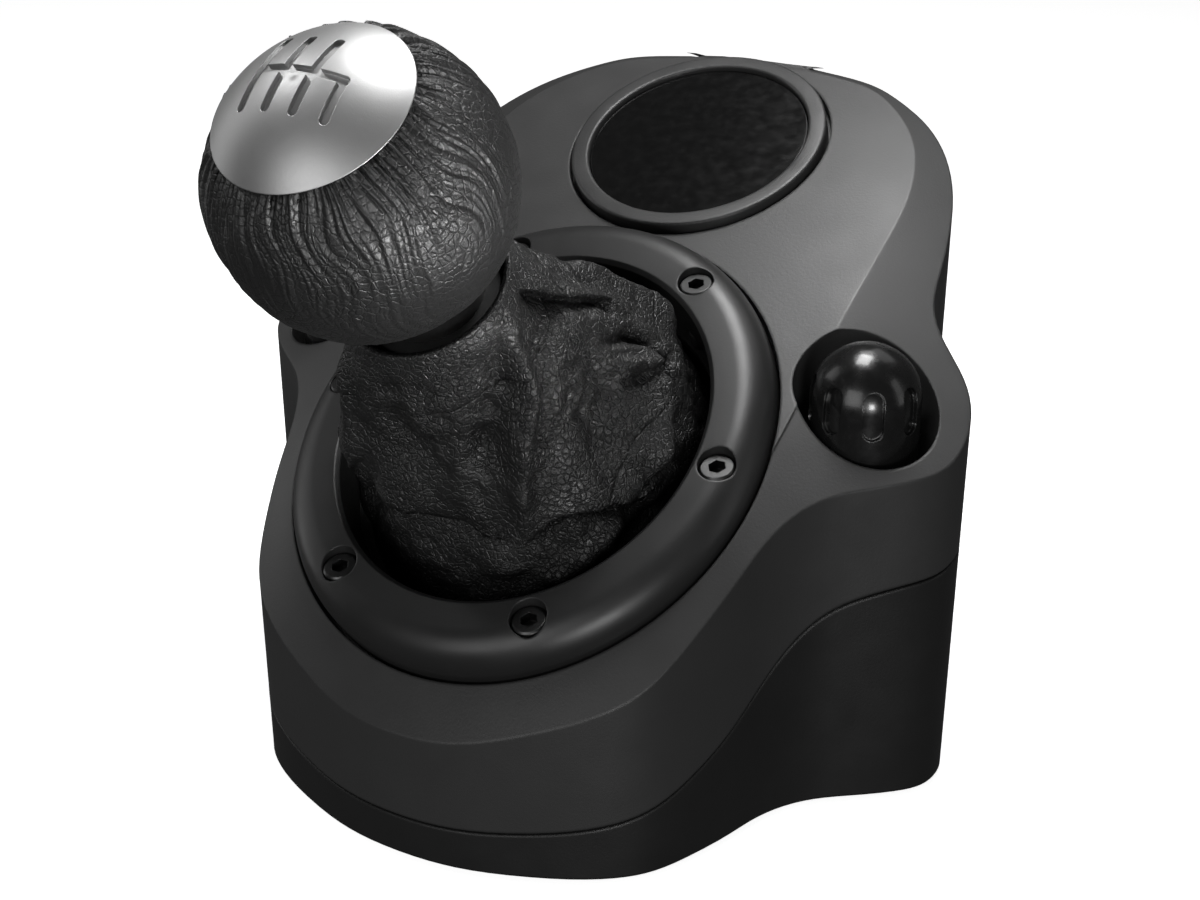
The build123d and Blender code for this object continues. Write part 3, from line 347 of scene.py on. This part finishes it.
# Ridges and valleys: height in millimetres, half width, then points as (direction in degrees, height)
BOOT_RIDGES = [
    (1.9, 1.5, [(356, 64), (346, 61), (338, 55.5), (320, 49), (310, 43), (303, 37)]),
    (-1.8, 3.0, [(338, 62), (322, 56), (306, 50), (292, 44)]),
    (-1.8, 2.6, [(14, 50), (4, 44), (352, 42.5), (342, 38)]),
    (1.6, 2.0, [(26, 41), (14, 37), (2, 33.5), (350, 31)]),
    (1.8, 1.5, [(224, 64), (229, 56), (235, 48), (237, 44)]),
    (-1.4, 3.4, [(258, 60), (262, 52), (272, 46)]),
    (1.4, 2.0, [(212, 40), (206, 32), (212, 25), (226, 20)]),
    (-1.6, 2.4, [(222, 38), (216, 30), (222, 24)]),
    (1.4, 2.2, [(66, 55), (62, 44), (54, 35), (50, 27)]),
    (-1.6, 2.4, [(82, 52), (80, 42), (72, 33), (70, 26)]),
    (1.5, 2.2, [(108, 56), (104, 46), (96, 36), (98, 27)]),
    (-1.6, 2.4, [(128, 54), (126, 43), (118, 34), (116, 26)]),
    (1.5, 2.2, [(150, 58), (150, 46), (142, 36), (146, 27)]),
    (-1.5, 2.4, [(172, 54), (172, 44), (166, 34), (170, 26)]),
    (1.5, 2.2, [(194, 56), (192, 46), (186, 36), (188, 28)]),
    (-1.4, 1.0, [(22, 48), (30, 44), (34, 38)]),
    (1.0, 0.9, [(14, 46), (20, 43), (28, 36)]),
    (-1.4, 0.9, [(12, 42), (22, 39.5), (36, 34)]),
    (-1.2, 0.9, [(36, 46), (30, 39), (16, 35)]),
    (1.0, 0.9, [(38, 41), (30, 36.5), (20, 32)]),
    (-1.0, 0.9, [(344, 46), (352, 45.5), (2, 48)]),
    (1.4, 1.6, [(292, 22), (310, 25.5), (328, 27.5), (344, 29)]),
    (-1.4, 1.6, [(306, 21.5), (326, 23.5), (344, 24.5)]),
    (-1.0, 1.0, [(326, 33), (334, 30), (346, 25)]),
    (-1.0, 0.9, [(340, 34), (348, 31.5), (4, 29)]),
]

# Folds where the upper leather hangs over the lower: outward, inward, hang and reach in millimetres, then
# the edge as points
BOOT_FOLDS = [
    (2.6, 6.0, 2.8, 4.0, [
        (236, 43.5), (244, 42.5), (256, 42), (270, 40.5), (284, 37.5), (294, 36.3), (304, 36.6),
        (318, 38.6), (328, 37.8), (336, 35.5), (344, 31.5), (352, 29),
    ]),
    (1.6, 2.2, 1.4, 2.0, [(12, 67), (24, 62), (36, 55), (44, 48), (38, 44)]),
    (2.4, 2.6, 1.8, 2.6, [(200, 43), (210, 44.8), (220, 45.6), (228, 45), (236, 43.6)]),
    (1.2, 2.4, 1.4, 2.4, [(60, 40), (84, 37), (104, 38.5), (124, 37)]),
    (1.2, 2.4, 1.4, 2.4, [(128, 42), (148, 40.5), (170, 41.5), (184, 40)]),
]


DIRECTIONS = BOOT_TABLE.shape[1] - 1
MEAN_RADIUS = 20
RIDGE_GAIN = 1.35


def spline(values, at):
    """Catmull-Rom through four neighbours; values is a list of four arrays."""
    p0, p1, p2, p3 = values
    square = 2 * p0 - 5 * p1 + 4 * p2 - p3
    cube = 3 * (p1 - p2) + p3 - p0
    return p1 + 0.5 * at * (p2 - p0 + at * (square + at * cube))


def boot_radius(turn, height):
    """turn in degrees and height in millimetres, as arrays."""
    heights = BOOT_TABLE[:, 0]
    row = np.clip(np.searchsorted(heights, height) - 1, 0, len(heights) - 2)
    at = (height - heights[row]) / (heights[row + 1] - heights[row])
    step = turn / (360 / DIRECTIONS) % DIRECTIONS
    column = np.floor(step).astype(int)
    rows = []
    for j in (-1, 0, 1, 2):
        r = np.clip(row + j, 0, len(heights) - 1)
        near = [BOOT_TABLE[r, 1 + (column + i) % DIRECTIONS] for i in (-1, 0, 1, 2)]
        rows.append(spline(near, step - column))
    return spline(rows, np.clip(at, 0, 1))


def path_distance(turn, height, radius, path):
    """Distance to a path in millimetres, the side of it (above is positive) and how far along it."""
    best = np.full(turn.shape, 1e9)
    side = np.ones(turn.shape)
    along = np.zeros(turn.shape)
    points = unwound(path)
    spans = list(zip(points, points[1:]))
    lengths = [math.hypot(math.radians(b[0] - a[0]) * MEAN_RADIUS, b[1] - a[1]) for a, b in spans]
    done = 0
    for (a, b), length in zip(spans, lengths):
        dx = np.radians((turn - a[0] + 180) % 360 - 180) * radius
        dy = height - a[1]
        ex = math.radians(b[0] - a[0]) * radius
        ey = b[1] - a[1]
        t = np.clip((dx * ex + dy * ey) / (ex * ex + ey * ey), 0, 1)
        distance = np.hypot(dx - t * ex, dy - t * ey)
        closer = distance < best
        best = np.where(closer, distance, best)
        side = np.where(closer, np.sign(ex * dy - ey * dx), side)
        along = np.where(closer, (done + t * length) / sum(lengths), along)
        done += length
    return best, side, along


def unwound(path):
    """The path with its directions made continuous past 360 degrees."""
    points = [path[0]]
    for turn, height in path[1:]:
        last = points[-1][0]
        points.append((last + (turn - last + 180) % 360 - 180, height))
    return points


def ease(low, high, value):
    t = np.clip((value - low) / (high - low), 0, 1)
    return t * t * (3 - 2 * t)


def boot_points(turn, height):
    """Places of the leather in metres, for arrays of directions in degrees and heights in millimetres."""
    radius = boot_radius(turn, height)
    free = ease(16, 22, height) * (1 - ease(61, 66.5, height))
    out = np.zeros(turn.shape)
    lift = np.zeros(turn.shape)
    for amount, width, path in BOOT_RIDGES:
        distance, _, along = path_distance(turn, height, radius, path)
        taper = ease(0, 0.25, along) * (1 - ease(0.75, 1, along)) * 0.6 + 0.4
        out += amount * RIDGE_GAIN * taper * np.exp(-((distance / width) ** 2))
    for outward, inward, hang, reach, path in BOOT_FOLDS:
        distance, side, along = path_distance(turn, height, radius, path)
        taper = ease(0, 0.12, along) * (1 - ease(0.88, 1, along))
        over = side * distance
        edge = ease(-0.35, 0.35, over)
        upper = np.exp(-((distance / reach) ** 2))
        lower = np.exp(-((distance / (reach * 1.3)) ** 2))
        out += taper * (edge * outward * upper - (1 - edge) * inward * lower)
        lift += taper * (-edge * hang * upper + (1 - edge) * hang * 0.6 * lower)
    places = []
    for a, h, r, o, d, f in zip(*(x.ravel() for x in (turn, height, radius, out, lift, free))):
        c = math.cos(math.radians(a))
        s = math.sin(math.radians(a))
        soft = noise.fractal(Vector((c * r * 0.10, s * r * 0.10, h * 0.12 + 3)), 0.9, 2.1, 3) * 1.3
        fine = noise.fractal(Vector((c * r * 0.45, s * r * 0.45, h * 0.3)), 0.8, 2.2, 2) * 0.28
        full = r + (o + soft + fine) * f
        places.append(LEVER @ (Vector((c * full, s * full, h + d * f)) * MM))
    return places


# The boot in three pieces, one above the other along the lever
BOOT_CUTS = (15.2, 37.0, 57.0, 68.4)
BOOT_THICKNESS = 0.9
BOOT_GIRTH = 150
STEP = 0.45
for index, (low, high) in enumerate(zip(BOOT_CUTS, BOOT_CUTS[1:])):
    count = max(2, round((high - low) / STEP))
    turns = round(BOOT_GIRTH / STEP)
    turn, height = np.meshgrid(np.arange(turns) / turns * 360, np.linspace(low, high, count + 1))
    points = boot_points(turn, height)
    rows = [points[j * turns : (j + 1) * turns] for j in range(count + 1)]
    piece = grid_mesh(f"boot_{index + 1}", rows)
    piece.data.materials.append(BOOT_LEATHER)
    give_thickness(piece, BOOT_THICKNESS * MM)
    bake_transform(piece)
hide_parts("shift_boot")


# Leather on the ball
def ball_point(turn, fall):
    """turn goes round the lever, fall from the cap's edge down to the neck."""
    direction = Vector((math.sin(fall) * math.cos(turn), math.sin(fall) * math.sin(turn), math.cos(fall)))
    below = math.degrees(fall - CAP_ANGLE)
    near = math.exp(-below / 30) * smooth(-1, 2, below)
    swirl = noise.noise(direction * 2.2 + Vector((4, 0, 0))) * 0.16
    ring = Vector((math.cos(turn + swirl), math.sin(turn + swirl), 0))
    coarse = noise.noise(ring * 6.5 + Vector((0, 0, below * 0.012)))
    gather = noise.noise(ring * 15 + Vector((3, 0, below * 0.022)))
    fine = noise.noise(ring * 30 + Vector((6, 0, below * 0.04)))
    crease = (0.8 * abs(coarse) + 1.3 * abs(gather) + 0.9 * abs(fine) - 0.75) * 0.95 * near
    foot = math.exp(-(math.degrees(math.pi - fall) - 24) / 13)
    level = Vector((direction.x * 3.2, direction.y * 3.2, fall * 11))
    folds = -abs(noise.noise(level)) * 0.9 * min(foot, 1.0)
    waves = noise.fractal(direction * 2.6, 1.0, 2.0, 3) * 0.12
    radius = BALL_RADIUS - 0.2 + crease + folds + waves * smooth(0, 12, below)
    return LEVER @ ((direction * radius + Vector((0, 0, BALL_CENTRE))) * MM)


turns = 720
falls = 180
first_fall = CAP_ANGLE - math.radians(0.4)
last_fall = math.pi - math.asin(NECK_RADIUS / BALL_RADIUS)
rows = []
for j in range(falls + 1):
    fall = lerp(first_fall, last_fall, j / falls)
    rows.append([ball_point(2 * math.pi * i / turns, fall) for i in range(turns)])
ball = grid_mesh("ball_leather", list(reversed(rows)))
ball.data.materials.append(BALL_LEATHER)
give_thickness(ball, BALL_THICKNESS * MM)
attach(ball, "lever")
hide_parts("knob_leather")


# Floor, light and camera
def paper(name, tone, rough, glow):
    """Plain studio paper."""
    n = Nodes(name)
    place = n.place()
    colour = n.mix(n.noise(place, 3, 2), grey(tone), grey(tone * 0.99))
    return n.surface(
        Base_Color=colour, Roughness=rough, Emission_Color=(1, 1, 1, 1), Emission_Strength=glow
    )


bpy.ops.mesh.primitive_plane_add(size=8, location=(0, 0, -0.0002))
floor = bpy.context.object
floor.name = "floor"
floor.data.materials.append(paper("floor_paper", 0.93, 0.9, 0.85))
floor.visible_diffuse = False
floor.visible_glossy = False
floor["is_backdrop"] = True

world = bpy.data.worlds.new("studio")
bpy.context.scene.world = world
world.use_nodes = True
tree = world.node_tree
background = tree.nodes["Background"]
path = tree.nodes.new("ShaderNodeLightPath")
mix = tree.nodes.new("ShaderNodeMix")
tree.links.new(path.outputs["Is Camera Ray"], mix.inputs[0])
mix.inputs[2].default_value = 0.05
mix.inputs[3].default_value = 1.1
tree.links.new(mix.outputs[0], background.inputs["Strength"])
background.inputs["Color"].default_value = (1, 1, 1, 1)


def hang_light(data, place, target, power):
    """Puts a light in its place, turned to its target."""
    data.energy = power
    light = bpy.data.objects.new(data.name, data)
    light.location = place
    light.rotation_euler = (Vector(target) - Vector(place)).to_track_quat("-Z", "Y").to_euler()
    bpy.context.scene.collection.objects.link(light)


def area(name, place, target, size, power, size_y=None):
    data = bpy.data.lights.new(name, "AREA")
    data.size = size
    if size_y:
        data.shape = "RECTANGLE"
        data.size_y = size_y
    hang_light(data, place, target, power)


def spot(name, place, target, power, angle):
    """A narrow light on the ball alone."""
    data = bpy.data.lights.new(name, "SPOT")
    data.spot_size = math.radians(angle)
    data.spot_blend = 1.0
    data.shadow_soft_size = 0.03
    hang_light(data, place, target, power)


MIDDLE = (0, 0, 0.06)
area("overhead", (0.0, 0.06, 0.34), MIDDLE, 0.10, 0.75, 0.13)
area("card", (-0.11, 0.35, 0.66), (0, 0.045, 0.09), 0.20, 0.36)
area("rear", (0.10, 0.45, 0.60), MIDDLE, 0.40, 0.3, 0.3)
area("left", (-0.75, -0.10, 0.28), MIDDLE, 0.30, 0.9, 0.8)
area("front", (-0.02, -0.85, 0.30), MIDDLE, 0.5, 2.1)
area("right", (0.75, 0.10, 0.30), MIDDLE, 0.2, 0.4, 0.6)
area("corner", (0.40, -0.50, 0.06), MIDDLE, 0.12, 1.3, 0.12)
spot("ball_low", (0.30, -0.07, 0.03), (0, -0.052, 0.106), 11, 12)
spot("ball_cap", (-0.26, -0.06, 0.45), (0, -0.06, 0.122), 2.2, 10)

scene = bpy.context.scene
camera_data = bpy.data.cameras.new("camera")
camera = bpy.data.objects.new("camera", camera_data)
scene.collection.objects.link(camera)
camera_data.sensor_width = 36
camera_data.lens = 54
camera_data.clip_start = 0.01
camera.location = (0.14262, -0.23872, 0.1742)
camera.rotation_euler = (math.radians(90 - 24.069), 0, math.radians(29.598))
scene.camera = camera
scene.view_settings.view_transform = "Standard"
scene.view_settings.look = "None"

low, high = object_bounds()
